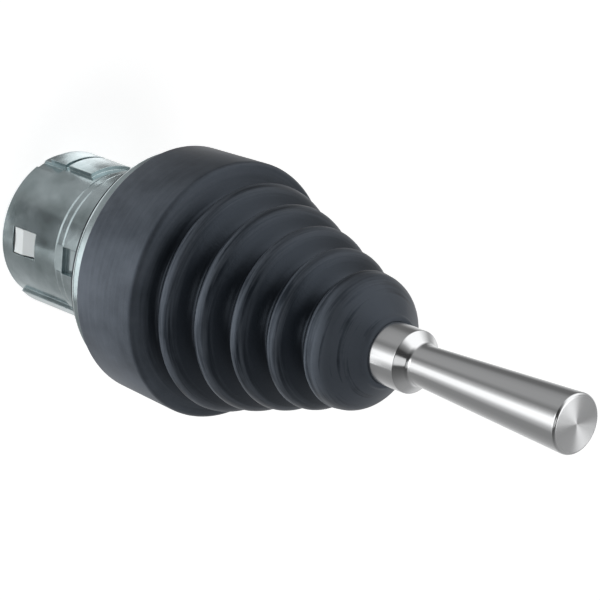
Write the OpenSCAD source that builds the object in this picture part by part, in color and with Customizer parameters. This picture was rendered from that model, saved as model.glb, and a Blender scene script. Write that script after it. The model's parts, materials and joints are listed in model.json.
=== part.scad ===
// Joystick head for a 22 mm panel hole: steel lever on a gimbal, rubber boot, metal sleeve.
// +Z points out of the panel along the lever, +Y is twelve o'clock on the panel, and the
// origin is the centre of the face that rests on the panel.

/* [Mounting sleeve] */
// Radius of the plain part of the sleeve
sleeve_r = 10.4; // [10.2:0.05:10.6]
// Wall thickness of the sleeve
sleeve_wall = 1.2; // [1.0:0.05:1.4]
// Length of the sleeve behind the panel face
sleeve_len = 21.1; // [20.5:0.1:24]
// Radial height of each of the two steps up to the locating land
land_step = 0.3; // [0.2:0.05:0.35]
// Length of the locating land behind the panel face
land_len = 7.9; // [7:0.1:8.4]
// Length of the lower step behind the land
step_len = 1.6; // [1.2:0.1:2]
// Length of the slope at the rear of each step
step_slope = 0.6; // [0.4:0.05:0.8]
// Width of the chamfers on the sleeve's rear rim
rim_chamfer = 0.35; // [0.2:0.05:0.45]
// How far the boot stands out past the flange's edge
flange_inset = 1.2; // [1:0.1:1.3]
// Thickness of the front flange
flange_t = 2.8; // [2.6:0.1:3.4]
// Radius of the round on the flange's rear edge
flange_round = 0.8; // [0.4:0.05:1]
// Width of the tongue that enters the notch of the panel hole
tongue_w = 3.0; // [2.5:0.1:3.2]
// Radius that the tongue reaches
tongue_r = 12.7; // [12.2:0.1:12.9]
// Length of the tongue behind the panel face
tongue_len = 4; // [2:0.1:6]

/* [Lugs and windows] */
// Distance from the sleeve's rear rim to the lugs
lug_inset = 1.7; // [1:0.1:2.2]
// Angle covered by the two top lugs
top_lug_angle = 38; // [34:1:46]
// Length of the rear top lug
top_lug_len = 3.2; // [2.8:0.1:3.6]
// Gap between the two top lugs
lug_gap = 0.7; // [0.5:0.1:1]
// Length of the front top lug
front_lug_len = 4.7; // [4:0.1:5]
// Angle covered by the relief at each end of the rear top lug
relief_angle = 9; // [7:1:12]
// Depth of that relief below the plain sleeve
relief_cut = 0.5; // [0.3:0.05:0.55]
// Angle covered by each lower lug
low_lug_angle = 26; // [20:1:32]
// Angle between each lower lug and six o'clock
low_lug_turn = 30; // [26:1:36]
// Width of the latch windows at three and nine o'clock
window_w = 3.8; // [3.4:0.1:4.4]
// Length of the latch windows
window_len = 4.7; // [4.2:0.1:5]
// Distance from the rear rim to the latch windows
window_inset = 2.5; // [2.2:0.1:2.9]
// How far the guide's latches stay below the plain sleeve
latch_inset = 0.3; // [0.2:0.05:0.4]
// Length of the latches before their ramps
latch_flat = 1.8; // [1.5:0.1:2]
// Height of the thin end of each latch's ramp
latch_nose = 0.2; // [0.1:0.05:0.3]
// Length of the notch cut in the land in line with each window
notch_len = 3.4; // [2.5:0.1:4.5]
// Depth of the pocket in that notch, below the plain sleeve
pocket_cut = 0.7; // [0.4:0.05:0.8]

/* [Gasket] */
// Radial gap between the frame screws and the panel gasket
gasket_inset = 0.2; // [0.15:0.05:0.3]
// Width of the panel gasket
gasket_w = 1.7; // [1.4:0.1:1.8]
// Height of the gasket that stands proud of the flange
gasket_proud = 0.5; // [0.3:0.05:0.8]
// Depth of the groove that holds the gasket
gasket_groove = 1.0; // [0.8:0.05:1.2]

/* [Gimbal] */
// Largest tilt about each axis, in degrees
tilt_max = 15; // [12:0.5:15]
// Radial room between the rocker disc and the gimbal ring
disc_room = 1.2; // [1.1:0.05:1.3]
// Width of the gimbal ring
ring_w = 2.2; // [2:0.05:2.3]
// Height of the gimbal ring
ring_h = 3.2; // [2.9:0.1:3.4]
// Radius of the pins that carry the ring in its frame
outer_pin_r = 1.2; // [1:0.05:1.3]
// Radius of the pin that carries the lever in the ring
inner_pin_r = 1; // [0.8:0.05:1.1]
// Radial room round the gimbal ring
ring_room = 0.6; // [0.5:0.05:0.7]
// Height of the recess floor above the panel face
recess_floor = 1; // [0.9:0.05:1.2]
// How far the bore's front lip stands in, which stops the plunger guide
lip_inset = 0.5; // [0.3:0.05:0.6]
// Thickness of that lip
lip_t = 1.4; // [1.2:0.1:1.6]
// Width of the frame outside the screw heads
frame_edge = 0.8; // [0.6:0.05:0.9]
// Thickness of the gate plate
gate_t = 1.5; // [1.2:0.1:1.8]
// Radius of the gate opening's corners
gate_corner_r = 1.2; // [0.8:0.1:1.6]

/* [Screws] */
// Distance from the gimbal's recess to the screws' centre lines
screw_wall = 1.7; // [1.6:0.05:1.8]
// Radius of each screw's thread
screw_r = 1; // [0.9:0.05:1.1]
// Radius of each screw's head
head_r = 1.9; // [1.7:0.05:2]
// Height of each screw's head
head_h = 1.3; // [1.1:0.1:1.5]
// Width of the slot in each screw's head
slot_w = 0.5; // [0.4:0.05:0.6]
// Depth of that slot
slot_depth = 0.65; // [0.5:0.05:0.8]
// Depth that the screws enter the flange
screw_grip = 1.9; // [1.5:0.1:2]

/* [Rocker and plungers] */
// Width of the rocker disc outside the plungers
disc_edge = 0.3; // [0.2:0.05:0.4]
// Thickness of the rocker disc
disc_t = 1.4; // [1.2:0.1:1.6]
// Thickness of the rocker's floor under the shaft
rocker_floor = 0.7; // [0.6:0.05:0.9]
// Distance from the pivot to the underside of the rocker
rocker_drop = 2.2; // [2.1:0.05:2.4]
// Radius of the rocker's hub
hub_r = 4.2; // [4:0.1:4.4]
// Height of the hub above the pivot
hub_rise = 2.4; // [2.2:0.1:2.6]
// Radius of the trunnion barrel round the inner pin
barrel_r = 2.1; // [1.9:0.05:2.2]
// Wall between the spring pockets and the sleeve's bore
pocket_wall = 1.7; // [1.6:0.05:1.8]
// Radius of each plunger
plunger_r = 1.5; // [1.4:0.05:1.6]
// Gap between each plunger's dome and the rocker at rest
plunger_gap = 0.45; // [0.45:0.01:0.6]
// Radius of each plunger's spring collar
collar_r = 2.3; // [2.2:0.05:2.35]
// Thickness of each plunger's spring collar
collar_t = 1; // [0.8:0.1:1.2]
// Depth of each spring pocket
pocket_depth = 8.5; // [8:0.1:10]
// Radius of each spring pocket
pocket_r = 2.5; // [2.45:0.05:2.6]
// Distance from the sleeve's rear rim to the plunger guide
guide_inset = 1.8; // [1.6:0.1:2]
// Distance from the sleeve's rear rim to the plungers at rest
plunger_inset = 0.5; // [0.2:0.1:0.8]
// Width of the chamfer at each plunger's rear end
plunger_chamfer = 0.3; // [0.2:0.05:0.4]
// Radius of the plunger springs' wire
plunger_wire_r = 0.22; // [0.18:0.01:0.24]
// Number of turns of each plunger spring
plunger_turns = 6; // [5:0.5:7]
// Turns that lie flat at each end of a plunger spring
plunger_flat = 0.4; // [0.3:0.05:0.6]

/* [Lever] */
// Radius of the lever shaft
shaft_r = 2.5; // [2.4:0.05:2.6]
// Radius of the shaft's threaded end
thread_r = 2; // [1.9:0.05:2.1]
// Height of the lever's end face above the panel face
lever_top = 78.5; // [74:0.5:84]
// Height of the handle's rear face above the panel face
handle_base = 38; // [37:0.1:39]
// Radius of the handle's collar
grip_collar_r = 4.1; // [4:0.05:4.2]
// Height at which the collar's round end is widest
collar_top = 50; // [49.6:0.1:50.6]
// How far the collar's round end stands out past the collar
collar_bulge = 0.25; // [0.1:0.05:0.4]
// Height over which the round end widens
bulge_h = 0.8; // [0.5:0.1:1.2]
// Radius of the handle's neck
neck_r = 2.75; // [2.6:0.05:3]
// Height of the neck
neck_z = 52; // [51.6:0.1:53]
// Radius of the handle at its end
handle_end_r = 4.07; // [3.8:0.05:4.4]
// Radius of the fillet between the collar's round end and the neck
neck_fillet = 0.4; // [0.3:0.05:0.5]
// Width of the chamfer at the handle's end
end_chamfer = 0.5; // [0.3:0.05:0.8]
// Width of the chamfer at the handle's rear edge
base_chamfer = 0.3; // [0.2:0.05:0.4]
// Depth of the handle's threaded hole
thread_depth = 9; // [8:0.1:10]
// Width across the flats of the lock nut
nut_flats = 7; // [6.5:0.1:7]
// Height of the lock nut
nut_h = 3.2; // [2.8:0.1:3.3]

/* [Return spring] */
// Height of the return spring
spring_h = 10.5; // [10:0.1:11.5]
// Radius of the return spring's wire
spring_wire_r = 0.45; // [0.4:0.01:0.5]
// Middle radius of the spring's lowest turn
spring_base_r = 7.3; // [7.2:0.05:7.6]
// Middle radius of the spring's highest turn
spring_top_r = 3.8; // [3.7:0.05:3.9]
// Number of turns of the return spring
spring_turns = 5.5; // [5:0.5:6]
// Turns that lie flat at each end of the return spring
spring_flat = 0.6; // [0.5:0.05:0.8]
// Thickness of the spring cup
cup_t = 0.8; // [0.6:0.05:1]
// Depth of the spring cup's rim
cup_rim = 0.9; // [0.7:0.05:1.1]
// Thickness of the spring cup's rim
cup_rim_t = 0.55; // [0.5:0.05:0.7]
// Width of the chamfer on the cup's upper edge
cup_chamfer = 0.3; // [0.2:0.05:0.4]
// Radial gap between that rim and the spring's highest turn
cup_gap = 0.8; // [0.7:0.05:1]
// Radius of the clip above the spring cup
clip_r = 3.9; // [3.6:0.05:4.2]
// Thickness of that clip
clip_t = 0.7; // [0.5:0.05:0.9]
// Width of the clip's opening
clip_mouth = 3.2; // [2.8:0.1:3.4]
// Depth of the clip's groove in the shaft
clip_groove = 0.5; // [0.4:0.05:0.6]

/* [Boot] */
// Wall thickness of the boot's base at its rear edge
boot_base_wall = 2.05; // [1.9:0.05:2.2]
// How much wider the boot is at the front of its base
boot_flare = 0.45; // [0.3:0.05:0.6]
// Radius of the round at the front of the base
boot_round = 0.9; // [0.7:0.05:1.1]
// Height of the boot's straight base
boot_base_h = 10.8; // [10.6:0.1:11.2]
// Wall thickness of the boot's folds, measured outwards
boot_wall = 1.5; // [1.3:0.05:1.6]
// Number of folds
folds = 5; // [5:1:5]
// Height of the first fold's ridge above the flange
fold_start = 15.6; // [15.4:0.1:16]
// Distance from ridge to ridge
fold_pitch = 5.25; // [5.15:0.05:5.35]
// How far the first ridge stands in from the front of the base
first_ridge_inset = 2.05; // [1.9:0.05:2.2]
// How far each later ridge stands in from the one before it
ridge_fall = 1.6; // [1.55:0.05:1.65]
// Depth of the valleys between ridges
fold_depth = 2.3; // [1.9:0.1:2.5]
// Radius of the round from the last ridge to the nose
nose_round = 3.5; // [3.2:0.1:3.6]
// Slope of the nose in front of that round, in degrees
nose_slope = 38; // [36:1:40]
// Height of the boot's mouth above the last ridge
nose_h = 5.9; // [5.7:0.1:6.1]
// Width of the lip round the mouth
lip_w = 0.7; // [0.6:0.1:0.8]
// Distance from the mouth to the bead that grips the handle
bead_inset = 1.4; // [1.3:0.1:1.6]
// Height of that bead
bead_h = 1.2; // [1:0.1:1.4]
// Depth that the bead enters the handle's groove
bead_depth = 0.6; // [0.4:0.1:0.8]
// Width of the chamfers on the boot's rear edge and lip
boot_chamfer = 0.3; // [0.2:0.05:0.4]
// Thickness of the lip that the frame clamps on the flange
boot_foot_t = 1.2; // [1:0.1:1.4]
// Width of that lip
boot_foot_w = 1.5; // [1.2:0.1:1.6]

/* [Clearances] */
// Radial gap of a running fit
run_gap = 0.04; // [0.03:0.01:0.06]
// Radial gap of a fixed fit
fit_gap = 0.02; // [0.02:0.01:0.03]
// Gap round swinging pieces
swing_gap = 0.4; // [0.35:0.05:0.5]
// Gap round latches and loose seats
seat_gap = 0.1; // [0.05:0.05:0.15]

/* [Hidden] */

sleeve_color = "#9aa0a2";
steel_color = "#b9bbbc";
rubber_color = "#33363b";
moulding_color = "#c9cac6";
plate_color = "#8c8f92";
spring_color = "#a5a7a8";

$fn = 96;
eps = 0.01;
big = 60;

// Radii, from the bore outwards
land_r = sleeve_r + 2 * land_step;
bore_r = sleeve_r - sleeve_wall;
lip_r = bore_r - lip_inset;
plunger_offset = bore_r - pocket_wall - pocket_r;
disc_r = plunger_offset + plunger_r + disc_edge;
ring_in_r = disc_r + disc_room;
ring_out_r = ring_in_r + ring_w;
recess_r = ring_out_r + ring_room;
screw_circle_r = recess_r + screw_wall;
gasket_in_r = screw_circle_r + screw_r + gasket_inset;
gasket_out_r = gasket_in_r + gasket_w;
frame_r = screw_circle_r + head_r + frame_edge;
foot_r = frame_r - boot_foot_w;
boot_rear_r = frame_r + seat_gap / 2 + boot_base_wall;
boot_front_r = boot_rear_r + boot_flare;
flange_r = boot_rear_r - flange_inset;

// Heights along the lever
rear_z = -sleeve_len;
flange_rear = gasket_proud;
flange_front = flange_rear + flange_t;
ring_sweep = ring_out_r * sin(tilt_max) + ring_h / 2 * cos(tilt_max);
pivot_z = recess_floor + ring_sweep + swing_gap;
frame_top = pivot_z + ring_sweep + swing_gap;
gate_top = frame_top + gate_t;
cup_z = gate_top + spring_h;

// Half width of the gate: how far the tilted shaft reaches at the plate's upper face
lean = tan(tilt_max) / cos(tilt_max);
gate_half = (gate_top - pivot_z) * lean + shaft_r * sqrt(1 + lean * lean) + swing_gap;

// Plungers
dome_top = pivot_z - rocker_drop - plunger_gap;
guide_top = recess_floor - lip_t;
guide_rear = rear_z + guide_inset;
collar_z = guide_top - collar_t - seat_gap;
pocket_floor = guide_top - pocket_depth;

// Boot
boot_rear = flange_front;
fold_z = boot_rear + fold_start;
first_ridge_r = boot_front_r - first_ridge_inset;
last_ridge = [first_ridge_r - ridge_fall * (folds - 1), fold_z + fold_pitch * (folds - 1)];
mouth_z = last_ridge[1] + nose_h;
mouth_r = grip_collar_r + seat_gap / 2;
bead_z = mouth_z - bead_inset - bead_h;
fold_steps = 12;
fold_lift = 1.4;

// Turns before the first ridge at which the folds begin, outside and inside the wall
outer_lead = 0.58;
inner_lead = 0.5;

// Angles that the round edges of the boot cover
base_turn = 80;
tip_turn = 75;

// Points along a round about a centre, from one angle to another
function arc(centre, radius, from, to, steps) = [for (i = [0:steps])
    let (a = from + (to - from) * i / steps) centre + radius * [cos(a), sin(a)]];

// A ring between two radii
module ring(outer, inner, height) {
    difference() {
        cylinder(r = outer, h = height);
        translate([0, 0, -1]) cylinder(r = inner, h = height + 2);
    }
}

// A sector of a disc, centred on an angle
module sector(radius, angle, centre, height) {
    steps = ceil(angle / 15);
    points = [for (i = [0:steps])
        let (a = centre - angle / 2 + angle * i / steps)
        [2 * radius * cos(a), 2 * radius * sin(a)]];
    intersection() {
        cylinder(r = radius, h = height);
        translate([0, 0, -1]) linear_extrude(height + 2) polygon(concat([[0, 0]], points));
    }
}

// A raised pad on the sleeve, from one height to another
module sleeve_pad(radius, angle, centre, low, high) {
    translate([0, 0, low]) difference() {
        sector(radius, angle, centre, high - low);
        translate([0, 0, -1]) cylinder(r = bore_r + sleeve_wall / 2, h = high - low + 2);
    }
}

module screw_places() {
    for (turn = [45:90:315]) rotate(turn) translate([screw_circle_r, 0, 0]) children();
}

module mounting_sleeve() {
    lug_rear = rear_z + lug_inset;
    front_lug = lug_rear + top_lug_len + lug_gap;
    color(sleeve_color) difference() {
        union() {
            sleeve_body();
            sleeve_pad(land_r, top_lug_angle, 90, lug_rear, lug_rear + top_lug_len);
            sleeve_pad(land_r, top_lug_angle, 90, front_lug, front_lug + front_lug_len);
            for (side = [-1, 1])
                sleeve_pad(land_r, low_lug_angle, 270 + side * low_lug_turn,
                    lug_rear, -land_len);
            panel_tongue();
        }
        for (side = [-1, 1]) lug_relief(side, lug_rear + top_lug_len);
        for (turn = [0, 180]) rotate(turn) {
            latch_window();
            land_notch(0, -land_len - step_len - eps);
            land_notch(pocket_cut, -land_len);
        }
        screw_places() translate([0, 0, flange_front - screw_grip - fit_gap])
            cylinder(r = screw_r + fit_gap, h = flange_t);
    }
}

// Sleeve, land and flange in one turned outline
module sleeve_body() {
    step_rear = -land_len - step_len;
    rotate_extrude() polygon(concat([
        [bore_r + rim_chamfer, rear_z], [sleeve_r - rim_chamfer, rear_z],
        [sleeve_r, rear_z + rim_chamfer],
        [sleeve_r, step_rear], [sleeve_r + land_step, step_rear + step_slope],
        [sleeve_r + land_step, -land_len], [land_r, -land_len + step_slope],
        [land_r, flange_rear],
        [gasket_in_r - seat_gap, flange_rear],
        [gasket_in_r - seat_gap, flange_rear + gasket_groove],
        [gasket_out_r + seat_gap, flange_rear + gasket_groove],
        [gasket_out_r + seat_gap, flange_rear]],
        arc([flange_r - flange_round, flange_rear + flange_round], flange_round, 270, 360, 6),
        [[flange_r, flange_front], [recess_r, flange_front], [recess_r, recess_floor],
            [lip_r, recess_floor], [lip_r, guide_top], [bore_r, guide_top],
            [bore_r, rear_z + rim_chamfer]]));
}

// Shallow relief beside the rear top lug, open at the rear rim
module lug_relief(side, front) {
    centre = 90 + side * (top_lug_angle + relief_angle) / 2;
    translate([0, 0, rear_z - 1]) difference() {
        sector(land_r + 1, relief_angle, centre, front - rear_z + 1);
        cylinder(r = sleeve_r - relief_cut, h = front - rear_z + 1);
    }
}

module panel_tongue() {
    translate([-tongue_w / 2, land_r - sleeve_wall, -tongue_len])
        cube([tongue_w, tongue_r - land_r + sleeve_wall, tongue_len + flange_rear + eps]);
}

module latch_window() {
    translate([bore_r - 1, -window_w / 2, rear_z + window_inset])
        cube([sleeve_wall + 3, window_w, window_len]);
}

// Notch in line with a window: flush with the plain sleeve, or cut deeper as a pocket
module land_notch(depth, rear) {
    translate([sleeve_r - depth, -window_w / 2, rear])
        cube([land_r, window_w, notch_len - land_len - rear]);
}

module panel_gasket() {
    color(rubber_color) ring(gasket_out_r, gasket_in_r, gasket_proud + gasket_groove);
}

// Moulded insert that guides the plungers and latches in the sleeve's windows
module plunger_guide() {
    body_r = bore_r - seat_gap;
    color(moulding_color) difference() {
        union() {
            translate([0, 0, guide_rear]) cylinder(r = body_r, h = guide_top - guide_rear);
            for (turn = [0, 180]) rotate(turn) guide_latch(body_r);
        }
        for (turn = [0:90:270]) rotate(turn) translate([plunger_offset, 0, 0]) {
            translate([0, 0, guide_rear - 1])
                cylinder(r = plunger_r + run_gap, h = sleeve_len + 2);
            translate([0, 0, pocket_floor]) cylinder(r = pocket_r, h = pocket_depth + 1);
        }
    }
}

// Latch with a locking face to the rear and a ramp to the front
module guide_latch(body_r) {
    low = rear_z + window_inset + seat_gap;
    high = low + window_len - 2 * seat_gap;
    top_r = sleeve_r - latch_inset;
    width = window_w - 2 * seat_gap;
    translate([0, width / 2, 0]) rotate([90, 0, 0]) linear_extrude(width)
        polygon([[body_r - 1, low], [top_r, low], [top_r, low + latch_flat],
            [body_r + latch_nose, high], [body_r - 1, high]]);
}

// Frame that carries the gimbal ring and clamps the boot's foot on the flange
module gimbal_frame() {
    color(plate_color) difference() {
        rotate_extrude() polygon([
            [recess_r, flange_front], [foot_r, flange_front],
            [foot_r, flange_front + boot_foot_t],
            [frame_r, flange_front + boot_foot_t], [frame_r, frame_top], [recess_r, frame_top]]);
        screw_places() translate([0, 0, flange_front - 1])
            cylinder(r = screw_r + seat_gap, h = frame_top);
        translate([-big / 2, 0, pivot_z]) rotate([0, 90, 0])
            cylinder(r = outer_pin_r + fit_gap, h = big);
    }
}

// Plate whose square opening stops the lever at the end of its tilt
module gate_plate() {
    corner = gate_half - gate_corner_r;
    color(plate_color) translate([0, 0, frame_top]) difference() {
        cylinder(r = frame_r, h = gate_t);
        translate([-corner, -gate_half, -1]) cube([2 * corner, 2 * gate_half, gate_t + 2]);
        translate([-gate_half, -corner, -1]) cube([2 * gate_half, 2 * corner, gate_t + 2]);
        for (x = [-corner, corner], y = [-corner, corner])
            translate([x, y, -1]) cylinder(r = gate_corner_r, h = gate_t + 2);
        screw_places() translate([0, 0, -1]) cylinder(r = screw_r + seat_gap, h = gate_t + 2);
    }
}

module frame_screws() {
    color(spring_color) screw_places() difference() {
        union() {
            translate([0, 0, flange_front - screw_grip])
                cylinder(r = screw_r, h = gate_top - flange_front + screw_grip + eps);
            translate([0, 0, gate_top]) cylinder(r = head_r, h = head_h);
        }
        translate([-head_r - 1, -slot_w / 2, gate_top + head_h - slot_depth])
            cube([2 * head_r + 2, slot_w, head_h]);
    }
}

// Two pins fixed in the frame on the X axis, which end short of the boot's foot
module outer_pins() {
    color(steel_color) for (turn = [0, 180]) rotate(turn)
        translate([ring_in_r + seat_gap, 0, pivot_z]) rotate([0, 90, 0])
            cylinder(r = outer_pin_r, h = foot_r - ring_in_r - 2 * seat_gap);
}

module gimbal_ring() {
    color(steel_color) translate([0, 0, pivot_z]) difference() {
        translate([0, 0, -ring_h / 2]) ring(ring_out_r, ring_in_r, ring_h);
        rotate([0, 90, 0]) translate([0, 0, -big / 2])
            cylinder(r = outer_pin_r + run_gap, h = big);
        rotate([90, 0, 0]) translate([0, 0, -big / 2])
            cylinder(r = inner_pin_r + fit_gap, h = big);
    }
}

// Pin fixed in the ring on the Y axis, through the rocker and the shaft
module inner_pin() {
    half = ring_out_r - 3 * seat_gap;
    color(steel_color) translate([0, half, pivot_z]) rotate([90, 0, 0])
        cylinder(r = inner_pin_r, h = 2 * half);
}

// Hub and disc that press the plungers
module rocker() {
    barrel_half = sqrt(pow(ring_in_r - swing_gap, 2) - barrel_r * barrel_r);
    color(moulding_color) translate([0, 0, pivot_z]) difference() {
        union() {
            translate([0, 0, -rocker_drop]) cylinder(r = disc_r, h = disc_t);
            translate([0, 0, -rocker_drop]) cylinder(r = hub_r, h = rocker_drop + hub_rise);
            translate([0, barrel_half, 0]) rotate([90, 0, 0])
                cylinder(r = barrel_r, h = 2 * barrel_half);
        }
        translate([0, 0, shaft_foot()])
            cylinder(r = shaft_r + fit_gap, h = rocker_drop + hub_rise + 1);
        rotate([90, 0, 0]) translate([0, 0, -big / 2])
            cylinder(r = inner_pin_r + run_gap, h = big);
    }
}

// Height of the shaft's lower end, measured from the pivot
function shaft_foot() = -rocker_drop + rocker_floor;

module lever_shaft() {
    shoulder = handle_base - nut_h;
    color(steel_color) difference() {
        union() {
            translate([0, 0, pivot_z + shaft_foot()])
                cylinder(r = shaft_r, h = shoulder - pivot_z - shaft_foot());
            translate([0, 0, shoulder - eps])
                cylinder(r = thread_r, h = nut_h + thread_depth - 3 * seat_gap);
        }
        translate([0, 0, pivot_z]) rotate([90, 0, 0]) translate([0, 0, -big / 2])
            cylinder(r = inner_pin_r + run_gap, h = big);
        translate([0, 0, cup_z + cup_t]) ring(shaft_r + 1, shaft_r - clip_groove, clip_t);
    }
}

// Point on a helix whose radius runs from one value to another and whose ends lie flat
function coil_point(i, count, turns, low, high, radius_low, radius_high, flat) =
    let (t = turns * i / count,
        rise = min(1, max(0, (t - flat) / (turns - 2 * flat))),
        radius = radius_low + (radius_high - radius_low) * t / turns)
    [radius * cos(360 * t), radius * sin(360 * t), low + (high - low) * rise];

// Wire swept along the helix, eight sides round
module coil(low, high, radius_low, radius_high, turns, wire_r, flat) {
    sides = 8;
    count = round(turns * 12);
    path = [for (i = [0:count])
        coil_point(i, count, turns, low + wire_r, high - wire_r, radius_low, radius_high, flat)];
    turn = 360 * turns / count;
    points = [for (i = [0:count], s = [0:sides - 1])
        let (a = turn * i, b = 360 * s / sides)
        path[i] + wire_r * [cos(b) * cos(a), cos(b) * sin(a), sin(b)]];
    walls = [for (i = [0:count - 1], s = [0:sides - 1])
        let (p = i * sides + s, q = i * sides + (s + 1) % sides)
        [p, q, q + sides, p + sides]];
    first = [for (s = [sides - 1:-1:0]) s];
    last = [for (s = [0:sides - 1]) count * sides + s];
    polyhedron(points, concat(walls, [first, last]), convexity = 6);
}

module return_spring() {
    color(spring_color) coil(gate_top + fit_gap, cup_z - fit_gap, spring_base_r, spring_top_r,
        spring_turns, spring_wire_r, spring_flat);
}

// Washer with a rim that holds the top turn of the return spring
module spring_cup() {
    inner = spring_top_r + spring_wire_r + cup_gap;
    outer = inner + cup_rim_t;
    color(plate_color) rotate_extrude() polygon([
        [shaft_r + fit_gap, cup_z], [inner, cup_z], [inner, cup_z - cup_rim],
        [outer, cup_z - cup_rim], [outer, cup_z + cup_t - cup_chamfer],
        [outer - cup_chamfer, cup_z + cup_t],
        [shaft_r + fit_gap, cup_z + cup_t]]);
}

// Open clip in the shaft's groove
module cup_clip() {
    inner = shaft_r - clip_groove + fit_gap;
    color(spring_color) translate([0, 0, cup_z + cup_t]) difference() {
        ring(clip_r, inner, clip_t);
        translate([0, -clip_mouth / 2, -1]) cube([clip_r + 1, clip_mouth, clip_t + 2]);
    }
}

module lock_nut() {
    color(steel_color) translate([0, 0, handle_base - nut_h]) difference() {
        cylinder(r = nut_flats / 2 / cos(30), h = nut_h, $fn = 6);
        translate([0, 0, -1]) cylinder(r = thread_r + fit_gap, h = nut_h + 2);
    }
}

// Turned handle: collar with a round end in the boot's mouth, neck and flared grip
module lever_handle() {
    groove_low = bead_z - seat_gap;
    groove_high = bead_z + bead_h + seat_gap;
    groove_r = grip_collar_r - bead_depth;
    round_r = grip_collar_r + collar_bulge - neck_r;
    lead = acos((grip_collar_r - neck_r) / round_r);
    round_end = [for (i = [0:13]) let (a = i * (72 + lead) / 13 - lead)
        [neck_r + round_r * cos(a), collar_top
            + (a < 0 ? bulge_h : neck_z - neck_fillet - collar_top) * sin(a)]];
    color(steel_color) difference() {
        rotate_extrude() polygon(concat(
            [[0, handle_base], [grip_collar_r - base_chamfer, handle_base],
                [grip_collar_r, handle_base + base_chamfer],
                [grip_collar_r, groove_low], [groove_r, groove_low],
                [groove_r, groove_high], [grip_collar_r, groove_high]],
            round_end,
            arc([neck_r + neck_fillet, neck_z], neck_fillet, 250, 180, 4),
            [[handle_end_r, lever_top - end_chamfer],
                [handle_end_r - end_chamfer, lever_top], [0, lever_top]]));
        translate([0, 0, handle_base - 1]) cylinder(r = thread_r + fit_gap, h = thread_depth + 1);
    }
}

// Point on the boot's folds, a number of folds after the first ridge
function fold_point(turn, inset) =
    let (dip = fold_depth * pow((1 - cos(360 * turn)) / 2, fold_lift))
    [first_ridge_r - ridge_fall * turn - dip - inset, fold_z + fold_pitch * turn];

// Points of the folds from one turn up to, but not including, the last ridge
function fold_line(first, inset) = [for (i = [round(first * fold_steps):(folds - 1) * fold_steps - 1])
    fold_point(i / fold_steps, inset)];

module boot() {
    rim = boot_chamfer;
    front_z = boot_rear + boot_base_h;
    nose_centre = last_ridge - [nose_round, 0];
    lip = [mouth_r + lip_w, mouth_z];
    folds_inside = fold_line(0, boot_wall);
    outer = concat(
        [[boot_rear_r - rim, boot_rear], [boot_rear_r, boot_rear + rim]],
        arc([boot_front_r - boot_round, front_z], boot_round, 0, base_turn, 6),
        fold_line(-outer_lead, 0),
        arc(nose_centre, nose_round, 0, 90 - nose_slope, 6),
        [lip - [0, 2 * rim], lip - [rim / 2, rim / 2], lip - [1.5 * rim, 0], [mouth_r, mouth_z]]);
    inner = concat(
        [[mouth_r, bead_z + bead_h], [mouth_r - bead_depth + seat_gap / 2, bead_z + bead_h],
            [mouth_r - bead_depth + seat_gap / 2, bead_z], [mouth_r, bead_z],
            [mouth_r, last_ridge[1] + nose_round - boot_wall]],
        arc(nose_centre, nose_round - boot_wall, tip_turn, 0, 4),
        [for (i = [len(folds_inside) - 1:-1:0]) folds_inside[i]],
        [fold_point(-inner_lead, boot_wall), [frame_r + seat_gap / 2, front_z - 2 * rim],
            [frame_r + seat_gap / 2, boot_rear + boot_foot_t],
            [foot_r + seat_gap / 2, boot_rear + boot_foot_t], [foot_r + seat_gap / 2, boot_rear]]);
    color(rubber_color) rotate_extrude() polygon(concat(outer, inner));
}

// Domed follower with a collar that its spring pushes towards the rocker
module plunger(turn) {
    color(moulding_color) rotate(turn) translate([plunger_offset, 0, 0]) {
        rear = rear_z + plunger_inset;
        rotate_extrude() polygon(concat(
            [[0, rear], [plunger_r - plunger_chamfer, rear],
                [plunger_r, rear + plunger_chamfer],
                [plunger_r, collar_z], [collar_r, collar_z], [collar_r, collar_z + collar_t],
                [plunger_r, collar_z + collar_t]],
            arc([0, dome_top - plunger_r], plunger_r, 0, 90, 9)));
    }
}

module plunger_north() { plunger(90); }
module plunger_east() { plunger(0); }
module plunger_south() { plunger(270); }
module plunger_west() { plunger(180); }

module plunger_spring(turn) {
    color(spring_color) rotate(turn) translate([plunger_offset, 0, 0])
        coil(pocket_floor + fit_gap, collar_z - fit_gap, (pocket_r + plunger_r) / 2,
            (pocket_r + plunger_r) / 2, plunger_turns, plunger_wire_r, plunger_flat);
}

module spring_north() { plunger_spring(90); }
module spring_east() { plunger_spring(0); }
module spring_south() { plunger_spring(270); }
module spring_west() { plunger_spring(180); }

mounting_sleeve();
panel_gasket();
plunger_guide();
gimbal_frame();
gate_plate();
frame_screws();
outer_pins();
gimbal_ring();
inner_pin();
rocker();
lever_shaft();
return_spring();
spring_cup();
cup_clip();
lock_nut();
lever_handle();
boot();
plunger_north();
plunger_east();
plunger_south();
plunger_west();
spring_north();
spring_east();
spring_south();
spring_west();
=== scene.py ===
"""Looks of the panel joystick: finishes for the CAD frame, a moulded boot, a turned handle and springs."""

import json
import logging
import math
from dataclasses import dataclass, field
from enum import Enum

import bpy
from mathutils import Matrix, Vector

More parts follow.
